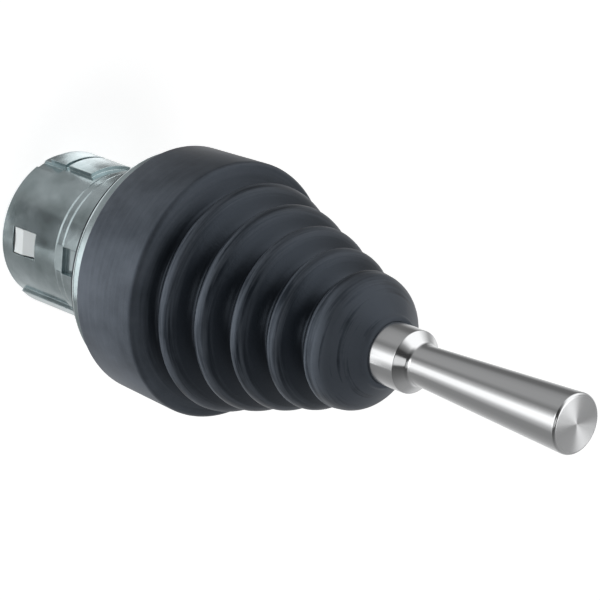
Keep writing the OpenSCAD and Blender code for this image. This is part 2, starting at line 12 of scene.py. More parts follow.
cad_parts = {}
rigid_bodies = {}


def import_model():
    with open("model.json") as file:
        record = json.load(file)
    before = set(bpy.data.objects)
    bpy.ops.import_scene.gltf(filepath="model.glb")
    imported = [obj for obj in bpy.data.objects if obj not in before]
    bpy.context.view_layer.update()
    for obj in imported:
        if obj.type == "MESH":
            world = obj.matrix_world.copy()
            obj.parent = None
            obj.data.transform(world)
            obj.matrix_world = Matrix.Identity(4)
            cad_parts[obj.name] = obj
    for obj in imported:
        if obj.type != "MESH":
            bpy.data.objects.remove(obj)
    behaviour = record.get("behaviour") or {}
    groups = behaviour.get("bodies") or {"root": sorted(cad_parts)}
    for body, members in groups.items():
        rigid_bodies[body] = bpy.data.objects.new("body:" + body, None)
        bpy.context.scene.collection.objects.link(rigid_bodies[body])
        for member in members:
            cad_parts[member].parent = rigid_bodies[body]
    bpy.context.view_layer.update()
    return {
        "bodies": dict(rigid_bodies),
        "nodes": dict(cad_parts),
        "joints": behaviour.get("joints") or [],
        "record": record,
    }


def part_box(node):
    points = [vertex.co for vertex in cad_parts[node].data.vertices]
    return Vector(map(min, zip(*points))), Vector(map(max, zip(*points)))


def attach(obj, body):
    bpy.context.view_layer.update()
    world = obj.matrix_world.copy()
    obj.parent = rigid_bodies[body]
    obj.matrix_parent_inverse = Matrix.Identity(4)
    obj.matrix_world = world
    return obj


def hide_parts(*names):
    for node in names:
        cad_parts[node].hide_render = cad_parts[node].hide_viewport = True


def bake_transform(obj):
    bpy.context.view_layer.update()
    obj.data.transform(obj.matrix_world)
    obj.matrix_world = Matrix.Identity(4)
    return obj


LOG = logging.getLogger("joystick")
MM = 0.001
WHITE = "ffffff"
BRIGHTEST = 2.0  # brightness of the surround where its tone is white

Colour = tuple[float, float, float, float]
Stops = list[tuple[float, Colour]]
Profile = list[tuple[float, float]]
Points = list[Vector] | list[tuple[float, float, float]]
Tree = bpy.types.NodeTree
Node = bpy.types.Node
Socket = bpy.types.NodeSocket


class Body(Enum):
    """The moving bodies that pieces ride on."""

    HOUSING = "housing"
    GIMBAL = "gimbal"
    LEVER = "lever"
    FOLLOWER_NORTH = "follower_north"
    FOLLOWER_EAST = "follower_east"
    FOLLOWER_SOUTH = "follower_south"
    FOLLOWER_WEST = "follower_west"


def linear(code: str) -> Colour:
    """Turn an sRGB hex value into Blender's linear colour, by the curve that sRGB defines.

    Args:
        code: the colour as six hex digits, such as "a0a0a0".

    Returns:
        Red, green, blue and 1.
    """
    shares = [int(code[i : i + 2], 16) / 255 for i in (0, 2, 4)]
    parts = [s / 12.92 if s <= 0.04045 else ((s + 0.055) / 1.055) ** 2.4 for s in shares]
    return (*parts, 1.0)


def grey(level: float) -> Colour:
    """Tone of the surround for a brightness from 0 to BRIGHTEST."""
    return (level / BRIGHTEST, level / BRIGHTEST, level / BRIGHTEST, 1)


def per_mm(spacing_mm: float) -> float:
    """Scale of a noise whose features repeat about every so many millimetres."""
    return 1.0 / (spacing_mm * MM)


def add_node(
    tree: Tree, kind: str, links: dict | None = None, stops: Stops | None = None, **settings: object
) -> Node:
    """Add a shader node with its settings, inputs and colour stops.

    Args:
        tree: the node tree that takes it.
        kind: the node's type, without "ShaderNode".
        links: input name or number to a socket, or to the value it holds.
        stops: a colour ramp's places and colours, in order.
        **settings: attributes set on the node.

    Returns:
        The new node.
    """
    node = tree.nodes.new("ShaderNode" + kind)
    for name, value in settings.items():
        setattr(node, name, value)
    for name, value in (links or {}).items():
        if isinstance(value, bpy.types.NodeSocket):
            tree.links.new(value, node.inputs[name])
        else:
            node.inputs[name].default_value = value
    if stops:
        elements = node.color_ramp.elements
        while len(elements) < len(stops):
            elements.new(0.5)
        for element, (place, colour) in zip(elements, stops):
            element.position = place
            element.color = colour
    return node


@dataclass(frozen=True)
class Finish:
    """A surface finish: what the piece is made of and how its surface was made.

    Attributes:
        name: the material's name.
        slot: the record's material slot that it dresses.
        colour: the main colour, as sRGB hex.
        metallic: 1 for a metal.
        roughness: the middle roughness.
        grain_mm: spacing of the pattern that is raised.
        spread: how far the roughness swings to each side.
        depth_mm: how deep the pattern is.
        edge_mm: radius to which edges are softened, or 0.
    """

    name: str
    slot: str
    colour: str
    metallic: float = 1.0
    roughness: float = 0.3
    grain_mm: float = 0.5
    spread: float = 0.06
    depth_mm: float = 0.003
    edge_mm: float = 0.0

    def build(self) -> bpy.types.Material:
        """Make the material, with the texture that each finish adds.

        Returns:
            The material.
        """
        material = bpy.data.materials.new(self.name)
        material.use_nodes = True
        tree = material.node_tree
        shader = tree.nodes["Principled BSDF"]
        shader.inputs["Base Color"].default_value = linear(self.colour)
        shader.inputs["Metallic"].default_value = self.metallic
        shader.inputs["Roughness"].default_value = self.roughness
        material.diffuse_color = linear(self.colour)
        self.texture(tree, shader)
        return material

    def texture(self, tree: Tree, shader: Node) -> None:
        """Add the finish's own pattern: a plain satin surface has a faint grain.

        Args:
            tree: the material's node tree.
            shader: its Principled shader.
        """
        place = add_node(tree, "TexCoord").outputs["Object"]
        grain = add_node(tree, "TexNoise", {"Vector": place, "Scale": per_mm(self.grain_mm), "Detail": 3.0})
        self.vary_roughness(tree, shader, grain.outputs["Fac"])
        self.emboss(tree, shader, grain.outputs["Fac"])

    def vary_roughness(self, tree: Tree, shader: Node, pattern: Socket) -> None:
        """Let the roughness follow a pattern round its middle value.

        Args:
            tree: the material's node tree.
            shader: its Principled shader.
            pattern: the pattern, from 0 to 1.
        """
        reach = {"To Min": self.roughness - self.spread, "To Max": self.roughness + self.spread}
        varied = add_node(tree, "MapRange", {"Value": pattern, **reach})
        tree.links.new(varied.outputs["Result"], shader.inputs["Roughness"])

    def emboss(self, tree: Tree, shader: Node, pattern: Socket) -> None:
        """Raise a pattern, over softened edges where the finish has them.

        Args:
            tree: the material's node tree.
            shader: its Principled shader.
            pattern: the pattern, from 0 to 1.
        """
        bump = add_node(tree, "Bump", {"Height": pattern, "Distance": self.depth_mm * MM, "Strength": 1.0})
        if self.edge_mm:
            soft = add_node(tree, "Bevel", {"Radius": self.edge_mm * MM}, samples=6)
            tree.links.new(soft.outputs["Normal"], bump.inputs["Normal"])
        tree.links.new(bump.outputs["Normal"], shader.inputs["Normal"])


@dataclass(frozen=True)
class TurnedStainless(Finish):
    """Stainless steel, fine turned: rings from the tool stretch each highlight along the piece.

    Real feed marks are about 0.08 mm apart. They are drawn coarser, at grain_mm, so that they show.

    Attributes:
        scuff_mm: width of the handling scuffs.
        stretch: how far a highlight is stretched, from 0 to 1.
    """

    grain_mm: float = 0.44
    spread: float = 0.08
    depth_mm: float = 0.0012
    scuff_mm: float = 2.6
    stretch: float = 0.6

    def texture(self, tree: Tree, shader: Node) -> None:
        """Add tool marks round the axis, stretched highlights and faint handling scuffs.

        Args:
            tree: the material's node tree.
            shader: its Principled shader.
        """
        place = add_node(tree, "TexCoord").outputs["Object"]
        split = add_node(tree, "SeparateXYZ", {0: place})
        along = add_node(tree, "CombineXYZ", {"Z": split.outputs["Z"]}).outputs[0]
        rings = add_node(tree, "TexNoise", {"Vector": along, "Scale": per_mm(self.grain_mm), "Detail": 4.0})
        scuffs = add_node(tree, "TexNoise", {"Vector": place, "Scale": per_mm(self.scuff_mm), "Detail": 3.0})
        both = {0: rings.outputs["Fac"], 1: scuffs.outputs["Fac"]}
        mixed = add_node(tree, "Math", both, operation="MULTIPLY")
        self.vary_roughness(tree, shader, mixed.outputs[0])
        self.emboss(tree, shader, rings.outputs["Fac"])
        shader.inputs["Anisotropic"].default_value = self.stretch
        # A quarter turn lets the highlights run along the piece, across the rings.
        shader.inputs["Anisotropic Rotation"].default_value = 0.25
        tangent = add_node(tree, "Tangent", direction_type="RADIAL", axis="Z")
        tree.links.new(tangent.outputs[0], shader.inputs["Tangent"])


@dataclass(frozen=True)
class PlatedCasting(Finish):
    """Zinc die-casting, barrel plated: a bright skin over a slightly rippled casting with soft edges.

    Attributes:
        shade: colour of the darker clouds in the plating, as sRGB hex.
        cloud_mm: width of the clouds.
        clouds: where in their pattern the darker and the main colour are reached.
    """

    grain_mm: float = 1.8
    spread: float = 0.07
    depth_mm: float = 0.02
    edge_mm: float = 0.18
    shade: str = "9fadaf"
    cloud_mm: float = 5.0
    clouds: tuple[float, float] = (0.3, 0.68)

    def texture(self, tree: Tree, shader: Node) -> None:
        """Add the casting's ripple, cloudy plating and rounded edges.

        Args:
            tree: the material's node tree.
            shader: its Principled shader.
        """
        place = add_node(tree, "TexCoord").outputs["Object"]
        ripple = add_node(tree, "TexNoise", {"Vector": place, "Scale": per_mm(self.grain_mm), "Detail": 2.0})
        clouds = add_node(tree, "TexNoise", {"Vector": place, "Scale": per_mm(self.cloud_mm), "Detail": 4.0})
        stops = list(zip(self.clouds, (linear(self.shade), linear(self.colour))))
        tint = add_node(tree, "ValToRGB", {"Fac": clouds.outputs["Fac"]}, stops)
        tree.links.new(tint.outputs["Color"], shader.inputs["Base Color"])
        self.vary_roughness(tree, shader, clouds.outputs["Fac"])
        self.emboss(tree, shader, ripple.outputs["Fac"])


@dataclass(frozen=True)
class MouldedRubber(Finish):
    """EPDM rubber, compression moulded: satin black, with a dusty bloom on the outer faces.

    Two values on a piece's points say how thick the bloom lies and how much of it is wiped; on the boot the
    first also paints a highlight on the ridges and shade in the valleys. A piece without them shows the plain
    rubber.

    Attributes:
        film_and_sheen: colour of the dusty bloom, which on the boot's ridges is also a painted highlight, as
            sRGB hex.
        dusty: roughness where the bloom is thick.
        blooming: where in the pattern the rubber's colour ends and the full bloom begins.
        blotch_mm: width of the blotches in the bloom.
        streak_mm: width of the wiped streaks that run round the folds.
        streaking: part of the streaks' pattern that is stretched to its full swing.
        swing: how far the streaks change the bloom to each side.
        drift: how quickly they change round the axis, against along it.
        grain_share: height of the grain against that of the blotches.
        streak_share: height of the streaks against that of the blotches.
        gloss: specular level.
        gloss_tint: colour that the rubber's skin gives to reflections, as sRGB hex.
    """

    grain_mm: float = 0.25
    depth_mm: float = 0.07
    film_and_sheen: str = "50565e"
    dusty: float = 0.52
    blooming: tuple[float, float] = (0.1, 0.85)
    blotch_mm: float = 7.0
    streak_mm: float = 0.5
    streaking: tuple[float, float] = (0.32, 0.68)
    swing: float = 0.55
    drift: float = 0.05
    grain_share: float = 0.2
    streak_share: float = 0.05
    gloss: float = 0.65
    gloss_tint: str = "c4d2e4"

    def texture(self, tree: Tree, shader: Node) -> None:
        """Add bloom on the base, bloom with a painted highlight on ridges and painted shade in the valleys,
        wiped streaks, blotches and grain.

        Args:
            tree: the material's node tree.
            shader: its Principled shader.
        """
        place = add_node(tree, "TexCoord").outputs["Object"]
        blotching = {"Vector": place, "Scale": per_mm(self.blotch_mm), "Detail": 5.0, "Roughness": 0.6}
        blotch = add_node(tree, "TexNoise", blotching).outputs["Fac"]
        ringed = self.round_the_axis(tree, place)
        wiping = {"Vector": ringed, "Scale": per_mm(self.streak_mm), "Detail": 3.0}
        streaks = add_node(tree, "TexNoise", wiping).outputs["Fac"]
        shade = self.lay_film_and_painted_light(tree, blotch, streaks)
        # The bloom colour is also the painted highlight that the boot's ridges take.
        stops = list(zip(self.blooming, (linear(self.colour), linear(self.film_and_sheen))))
        tint = add_node(tree, "ValToRGB", {"Fac": shade}, stops)
        tree.links.new(tint.outputs["Color"], shader.inputs["Base Color"])
        dulled = add_node(tree, "MapRange", {"Value": shade, "To Min": self.roughness, "To Max": self.dusty})
        tree.links.new(dulled.outputs["Result"], shader.inputs["Roughness"])
        grain = add_node(tree, "TexNoise", {"Vector": place, "Scale": per_mm(self.grain_mm), "Detail": 2.0})
        low = {0: grain.outputs["Fac"], 1: self.grain_share, 2: blotch}
        fine = add_node(tree, "Math", low, operation="MULTIPLY_ADD").outputs[0]
        high = {0: streaks, 1: self.streak_share, 2: fine}
        self.emboss(tree, shader, add_node(tree, "Math", high, operation="MULTIPLY_ADD").outputs[0])
        shader.inputs["Specular IOR Level"].default_value = self.gloss
        shader.inputs["Specular Tint"].default_value = linear(self.gloss_tint)

    def lay_film_and_painted_light(self, tree: Tree, blotch: Socket, streaks: Socket) -> Socket:
        """How thick the bloom lies, with the painted light on the boot's folds: by the piece's own values,
        wiped in streaks and blotchy.

        Args:
            tree: the material's node tree.
            blotch: the blotches' pattern.
            streaks: the streaks' pattern.

        Returns:
            The thickness, from 0 to 1 or more.
        """
        # Painted light: on the boot the first value lightens the ridges as a painted highlight and darkens
        # the valleys as painted shade, on top of the real bloom.
        film_and_painted_light = add_node(tree, "Attribute", attribute_name="film_and_painted_light").outputs["Fac"]
        handled = add_node(tree, "Attribute", attribute_name="handled").outputs["Fac"]
        low, high = self.streaking
        span = {"From Min": low, "From Max": high, "To Min": -self.swing, "To Max": self.swing}
        wiped = add_node(tree, "MapRange", {"Value": streaks, **span}).outputs["Result"]
        mottle = add_node(tree, "Math", {0: wiped, 1: handled, 2: blotch}, operation="MULTIPLY_ADD")
        return add_node(tree, "Math", {0: film_and_painted_light, 1: mottle.outputs[0]}, operation="MULTIPLY").outputs[0]

    def round_the_axis(self, tree: Tree, place: Socket) -> Socket:
        """Coordinates that change with radius and height, and only slowly round the axis.

        Args:
            tree: the material's node tree.
            place: the piece's own coordinates.

        Returns:
            The new coordinates.
        """
        split = add_node(tree, "SeparateXYZ", {0: place})
        level = add_node(tree, "CombineXYZ", {"X": split.outputs["X"], "Y": split.outputs["Y"]}).outputs[0]
        radius = add_node(tree, "VectorMath", {0: level}, operation="LENGTH")
        slow = {0: level, 1: (self.drift, self.drift, 0.0)}
        drift = add_node(tree, "VectorMath", slow, operation="MULTIPLY")
        ringed = add_node(tree, "CombineXYZ", {"X": radius.outputs["Value"], "Z": split.outputs["Z"]})
        both = {0: ringed.outputs[0], 1: drift.outputs[0]}
        return add_node(tree, "VectorMath", both, operation="ADD").outputs[0]


@dataclass(frozen=True)
class MouldedAcetal(Finish):
    """Acetal, injection moulded: a smooth waxy white with a fine spark texture.

    Attributes:
        waxy: share of the light that goes below the surface.
        seep_mm: how far its red, green and blue parts go there.
    """

    grain_mm: float = 0.3
    spread: float = 0.05
    depth_mm: float = 0.006
    edge_mm: float = 0.1
    waxy: float = 0.08
    seep_mm: tuple[float, float, float] = (0.8, 0.7, 0.6)

    def texture(self, tree: Tree, shader: Node) -> None:
        """Add the mould's spark texture and a little depth.

        Args:
            tree: the material's node tree.
            shader: its Principled shader.
        """
        place = add_node(tree, "TexCoord").outputs["Object"]
        spark = add_node(tree, "TexNoise", {"Vector": place, "Scale": per_mm(self.grain_mm), "Detail": 2.0})
        self.vary_roughness(tree, shader, spark.outputs["Fac"])
        self.emboss(tree, shader, spark.outputs["Fac"])
        shader.inputs["Subsurface Weight"].default_value = self.waxy
        shader.inputs["Subsurface Radius"].default_value = tuple(reach * MM for reach in self.seep_mm)


@dataclass(frozen=True)
class GroundSteel(Finish):
    """Steel, ground or drawn: fine lengthwise streaks.

    Attributes:
        draw: how quickly the streaks change along the piece, against across it.
    """

    grain_mm: float = 0.15
    spread: float = 0.08
    edge_mm: float = 0.08
    draw: float = 0.08

    def texture(self, tree: Tree, shader: Node) -> None:
        """Add streaks that run along Z.

        Args:
            tree: the material's node tree.
            shader: its Principled shader.
        """
        place = add_node(tree, "TexCoord").outputs["Object"]
        drawn = add_node(tree, "Mapping", {"Vector": place, "Scale": (1.0, 1.0, self.draw)}).outputs[0]
        streaks = add_node(tree, "TexNoise", {"Vector": drawn, "Scale": per_mm(self.grain_mm), "Detail": 2.0})
        self.vary_roughness(tree, shader, streaks.outputs["Fac"])
        self.emboss(tree, shader, streaks.outputs["Fac"])


# Stainless bar, fine turned: bright, with long soft highlights.
TURNED = TurnedStainless("turned_stainless", "turned_stainless", "cdcecf", roughness=0.2)
# The same bar, faced off: a fan of light round the middle of the end face.
FACED = TurnedStainless("faced_stainless", "turned_stainless", "dadbdc", roughness=0.42, stretch=1.0)
# Zinc alloy, die-cast and barrel plated: cool, bright and slightly cloudy.
PLATED = PlatedCasting("plated_die_casting", "plated_die_casting", "c6d3d6", roughness=0.23)
# Carbon-black EPDM, moulded: valleys darkened to near black as painted shade, dusty blue-grey ridges with a
# painted highlight.
BOOT_RUBBER = MouldedRubber("boot_rubber", "boot_rubber", "10161d", metallic=0.0, roughness=0.33)
# Rubber, moulded and never handled: flat black.
GASKET = MouldedRubber(
    "gasket_rubber", "gasket_rubber", "1a1a1c", metallic=0.0, roughness=0.6, film_and_sheen="2c2c2e", dusty=0.7
)
# Acetal, moulded in its natural white: pale and waxy.
ACETAL = MouldedAcetal("pale_moulding", "pale_moulding", "d6dbdc", metallic=0.0, roughness=0.38)
# The same alloy, as cast and without the bright skin: dull grey.
GREY_CASTING = PlatedCasting("grey_die_casting", "grey_die_casting", "9a9ea0", roughness=0.42, shade="8a8e90")
# Steel sheet, rolled and punched: satin grey.
SHEET_STEEL = GroundSteel("sheet_steel", "sheet_steel", "b3b5b6", roughness=0.34)
# Steel pins and shaft, ground: bright, with fine lines along them.
GROUND = GroundSteel("ground_steel", "ground_steel", "bcbdbe", roughness=0.26)
# Spring wire, drawn: darker than the pins.
SPRING_STEEL = GroundSteel("spring_steel", "spring_steel", "8e8f90", roughness=0.3)
# Steel screws and nut, zinc plated: an even satin.
ZINC_STEEL = Finish("plated_steel", "plated_steel", "c2c4c6", roughness=0.3)
FINISHES: tuple[Finish, ...] = (
    TURNED,
    PLATED,
    BOOT_RUBBER,
    GASKET,
    ACETAL,
    GREY_CASTING,
    SHEET_STEEL,
    GROUND,
    SPRING_STEEL,
    ZINC_STEEL,
)


class Wardrobe:
    """Makes each finish once and puts it on pieces and CAD nodes."""

    def __init__(self) -> None:
        """Build every material."""
        self.made: dict[str, bpy.types.Material] = {finish.slot: finish.build() for finish in FINISHES}
        self.faced: bpy.types.Material = FACED.build()

    def dress(self, piece: bpy.types.Object, finish: Finish) -> None:
        """Give a new piece one finish."""
        piece.data.materials.append(self.made[finish.slot])

    def dress_nodes(self, frame: dict) -> None:
        """Give every CAD node the finish of its record slot.
        """
        for part in frame["record"]["subparts"]:
            for holder in frame["nodes"][part["node"]].material_slots:
                holder.material = self.made[part["material_slot"]]


def set_up(name: str, data: bpy.types.ID) -> bpy.types.Object:
    """Make an object for a mesh, lamp or camera.

    Args:
        name: the object's name.
        data: what it holds.

    Returns:
        The new object, in the scene.
    """
    made = bpy.data.objects.new(name, data)
    bpy.context.scene.collection.objects.link(made)
    return made


def form(name: str, points: Points, faces: list[tuple[int, ...]], sharp_deg: float) -> bpy.types.Object:
    """Make a smooth piece with sharp edges.

    Args:
        name: the piece's name.
        points: its points, in metres.
        faces: the numbers of each face's points.
        sharp_deg: edges that turn more than this stay sharp.

    Returns:
        The new object.
    """
    mesh = bpy.data.meshes.new(name)
    mesh.from_pydata(points, [], faces)
    mesh.validate()
    mesh.update()
    mesh.set_sharp_from_angle(angle=math.radians(sharp_deg))
    return set_up(name, mesh)


def lathe(name: str, profile: Profile, sides: int, sharp_deg: float, closed: bool = True) -> bpy.types.Object:
    """Turn a profile round the Z axis, with one point where it meets the axis.

    Args:
        name: the piece's name.
        profile: radius and height of each point, in millimetres.
        sides: how many points go round.
        sharp_deg: edges that turn more than this stay sharp.
        closed: join the last point to the first.

    Returns:
        The new object.
    """
    points, circles = [], []
    for radius, height in profile:
        count = sides if radius else 1
        circles.append([len(points) + k % count for k in range(sides)])
        swings = [math.tau * k / count for k in range(count)]
        points += [(radius * MM * math.cos(a), radius * MM * math.sin(a), height * MM) for a in swings]
    rows = len(profile)
    faces = []
    for i in range(rows if closed else rows - 1):
        near, far = circles[i], circles[(i + 1) % rows]
        for k in range(sides):
            m = (k + 1) % sides
            faces.append(tuple(dict.fromkeys((near[k], near[m], far[m], far[k]))))
    return form(name, points, faces, sharp_deg)


def arc(centre: tuple[float, float], radius: float, start: float, stop: float, steps: int) -> Profile:
    """Points of an arc, in profile coordinates.

    Args:
        centre: radius and height of its centre.
        radius: its own radius.
        start: first angle in degrees, from outwards to upwards.
        stop: last angle.
        steps: number of stretches.

    Returns:
        The points.
    """
    angles = [math.radians(start + (stop - start) * i / steps) for i in range(steps + 1)]
    return [(centre[0] + radius * math.cos(a), centre[1] + radius * math.sin(a)) for a in angles]


@dataclass(frozen=True)
class BloomAndPaintedLight:
    """How thick the bloom lies on each part of the boot, with painted light on the folds, and how much of it
    hands have wiped.

    Attributes:
        base: thickness on the base ring.
        ridge: thickness on a ridge, which also lays a painted highlight there.
        fade: how quickly it fades from a ridge down to the valley, which paints shade into the valley.
        nose: thickness at the foot of the nose.
        nose_rise: what it gains up to the mouth.
        base_wiped: wiped share on the base ring.
        fold_wiped: wiped share on the folds.
        nose_wiped: wiped share on the nose.
    """

    base: float = 1.3
    ridge: float = 1.28
    fade: float = 4.0
    nose: float = 1.25
    nose_rise: float = 1.4
    base_wiped: float = 0.1
    fold_wiped: float = 0.9
    nose_wiped: float = 0.6


@dataclass
class Boot:
    """The rubber boot: a base ring, five folds and a nose that grips the lever. Sizes in millimetres.

    Attributes:
        rear_z: height of its rear face.
        rear_r: radius of the base at its rear.
        front_r: radius of the base at its front.
        base_h: height of the base.
        base_round: radius of the base's front edge.
        base_arc: how far that edge is rounded, in degrees.
        folds: number of ridges.
        fold_z: height of the first ridge.
        fold_pitch: height from ridge to ridge.
        first_r: radius of the first ridge.
        ridge_fall: what the radius loses from ridge to ridge.
        fold_depth: depth of a valley.
        fold_lift: 1 for an even wave, and more for wider ridges.
        outer_turn: where the folds' outside begins, in folds from the first ridge.
        inner_turn: where their inside begins.
        wall: thickness.
        nose_round: radius of the nose's shoulder.
        nose_slope: slope of the nose, in degrees.
        nose_h: height of the nose above the last ridge.
        inner_arc: how far the nose is rounded inside, in degrees.
        mouth_r: radius of the mouth that holds the lever.
        lip_w: width of the lip round the mouth.
        lip_foot: place on the nose's slope, outwards and down from the foot of the lip.
        lip_step: where that slope ends at the lip, in the same way.
        lip_corner: points of the lip's corner, inwards and down from it, as shares of the rim.
        rim: radius of small edges.
        inner_r: radius inside the base.
        foot_r: radius inside the foot.
        foot_t: thickness of the foot.
        seam: fold at which the two halves meet.
        sides: points round each ring.
        steps: stretches along each fold.
        rim_steps: stretches along the base's rear edge.
        base_steps: stretches along its front edge.
        nose_steps: stretches along the nose's shoulder.
        inner_steps: stretches along its inside.
        sharp_deg: edges that turn more than this stay sharp.
        film_and_sheen: how dusty each part is, and how much painted light lies on the folds.
        halves: the two pieces, once they are made.
    """

    rear_z: float = 3.3
    rear_r: float = 17.3
    front_r: float = 17.75
    base_h: float = 10.8
    base_round: float = 0.9
    base_arc: float = 80.0
    folds: int = 5
    fold_z: float = 18.9
    fold_pitch: float = 5.25
    first_r: float = 15.7
    ridge_fall: float = 1.6
    fold_depth: float = 2.3
    fold_lift: float = 1.4
    outer_turn: float = -0.58
    inner_turn: float = -0.5
    wall: float = 1.5
    nose_round: float = 3.5
    nose_slope: float = 38.0
    nose_h: float = 5.9
    inner_arc: float = 75.0
    mouth_r: float = 4.28
    lip_w: float = 0.7
    lip_foot: tuple[float, float] = (1.2, 0.9)
    lip_step: tuple[float, float] = (0.2, 0.12)
    lip_corner: tuple[tuple[float, float], ...] = ((0, 1.6), (0.5, 0.5), (1.5, 0))
    rim: float = 0.3
    inner_r: float = 15.25
    foot_r: float = 13.75
    foot_t: float = 1.2
    seam: float = 1.5
    sides: int = 160
    steps: int = 24
    rim_steps: int = 5
    base_steps: int = 10
    nose_steps: int = 14
    inner_steps: int = 6
    sharp_deg: float = 40.0
    film_and_sheen: BloomAndPaintedLight = BloomAndPaintedLight()
    halves: list[bpy.types.Object] = field(default_factory=list)

    @property
    def front_z(self) -> float:
        """Height of the front of the base."""
        return self.rear_z + self.base_h

    @property
    def last_ridge(self) -> tuple[float, float]:
        """Radius and height of the last ridge."""
        turns = self.folds - 1
        return (self.first_r - self.ridge_fall * turns, self.fold_z + self.fold_pitch * turns)

    def fold_point(self, turn: float, inset: float = 0.0) -> tuple[float, float]:
        """Point on the folds, a number of folds after the first ridge."""
        dip = self.fold_depth * ((1 - math.cos(math.tau * turn)) / 2) ** self.fold_lift
        return (self.first_r - self.ridge_fall * turn - dip - inset, self.fold_z + self.fold_pitch * turn)

    def fold_line(self, first: float, last: float, inset: float = 0.0) -> Profile:
        """Points of the folds from one turn to another."""
        count = max(1, round(abs(last - first) * self.steps))
        return [self.fold_point(first + (last - first) * i / count, inset) for i in range(count + 1)]

    def rear_profile(self) -> Profile:
        """Outline of the half that sits on the flange: base ring and first folds.

        Returns:
            Its points, from the rear round the outside.
        """
        rear = (self.rear_r - self.rim, self.rear_z + self.rim)
        front = (self.front_r - self.base_round, self.front_z)
        outer = arc(rear, self.rim, -90, 0, self.rim_steps)
        outer += arc(front, self.base_round, 0, self.base_arc, self.base_steps)
        outer += self.fold_line(self.outer_turn, self.seam)
        inner = self.fold_line(self.seam, self.inner_turn, self.wall)
        inner += [(self.inner_r, self.front_z - 2 * self.rim), (self.inner_r, self.rear_z + self.foot_t)]
        inner += [(self.foot_r, self.rear_z + self.foot_t), (self.foot_r, self.rear_z)]
        return outer + inner

    def front_profile(self) -> Profile:
        """Outline of the half that ends in the nose.

        Returns:
            Its points, from the seam round the outside.
        """
        turns = self.folds - 1
        ridge_r, ridge_z = self.last_ridge
        centre = (ridge_r - self.nose_round, ridge_z)
        inside = self.nose_round - self.wall
        mouth_z = ridge_z + self.nose_h
        outer = self.fold_line(self.seam, turns)[:-1]
        outer += arc(centre, self.nose_round, 0, 90 - self.nose_slope, self.nose_steps)
        inner = [(self.mouth_r, mouth_z), (self.mouth_r, ridge_z + inside)]
        inner += arc(centre, inside, self.inner_arc, 0, self.inner_steps)
        inner += self.fold_line(turns, self.seam, self.wall)[1:]
        return outer + self.lip(mouth_z) + inner

    def lip(self, mouth_z: float) -> Profile:
        """Outline of the lip round the mouth, from the nose's slope to the top.

        Args:
            mouth_z: height of the mouth.

        Returns:
            Its points.
        """
        edge, low = self.mouth_r + self.lip_w, mouth_z - 2 * self.rim
        foot = [(edge + out, low - down) for out, down in (self.lip_foot, self.lip_step)]
        return foot + [(edge - back * self.rim, mouth_z - down * self.rim) for back, down in self.lip_corner]

    def lay_film_and_painted_light(self, radius: float, height: float) -> tuple[float, float]:
        """How thick the bloom is at a point of the boot, with painted light on the folds, and how much of it
        is wiped.

        Args:
            radius: the point's radius.
            height: its height.

        Returns:
            The values for the bloom with its painted light, and for the wiped share.
        """
        film_and_sheen, ridge_z = self.film_and_sheen, self.last_ridge[1]
        if height > ridge_z:
            return (film_and_sheen.nose + film_and_sheen.nose_rise * (height - ridge_z) / self.nose_h, film_and_sheen.nose_wiped)
        turn = (height - self.fold_z) / self.fold_pitch
        line = self.first_r - self.ridge_fall * turn
        stand = max(0.0, min(1.0, 1 - (line - radius) / self.fold_depth))
        # Painted light: on the folds the value rises towards each ridge line, a painted highlight on the
        # ridges and painted shade in the valleys.
        thickness = film_and_sheen.base if height < self.front_z else film_and_sheen.ridge * stand**film_and_sheen.fade
        return (thickness, film_and_sheen.base_wiped if height < self.front_z + self.base_round else film_and_sheen.fold_wiped)

    def mark_film_and_painted_light(self, half: bpy.types.Object) -> None:
        """Store on each point of a half how dusty it is, with the painted light on the folds, and how wiped
        it is.

        Args:
            half: the half.
        """
        marks = [self.lay_film_and_painted_light(vertex.co.xy.length / MM, vertex.co.z / MM) for vertex in half.data.vertices]
        for name, values in zip(("film_and_painted_light", "handled"), zip(*marks)):
            half.data.attributes.new(name, "FLOAT", "POINT").data.foreach_set("value", values)

    def build(self, wardrobe: Wardrobe) -> None:
        """Make both halves.

        Args:
            wardrobe: the finishes.
        """
        profiles = {"boot_rear_half": self.rear_profile(), "boot_front_half": self.front_profile()}
        for name, profile in profiles.items():
            half = lathe(name, profile, self.sides, self.sharp_deg)
            self.mark_film_and_painted_light(half)
            wardrobe.dress(half, BOOT_RUBBER)
            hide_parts("boot")
            self.halves.append(half)
        rear, front = self.halves
        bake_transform(rear)
        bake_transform(front)
        LOG.info("boot: %d halves", len(self.halves))


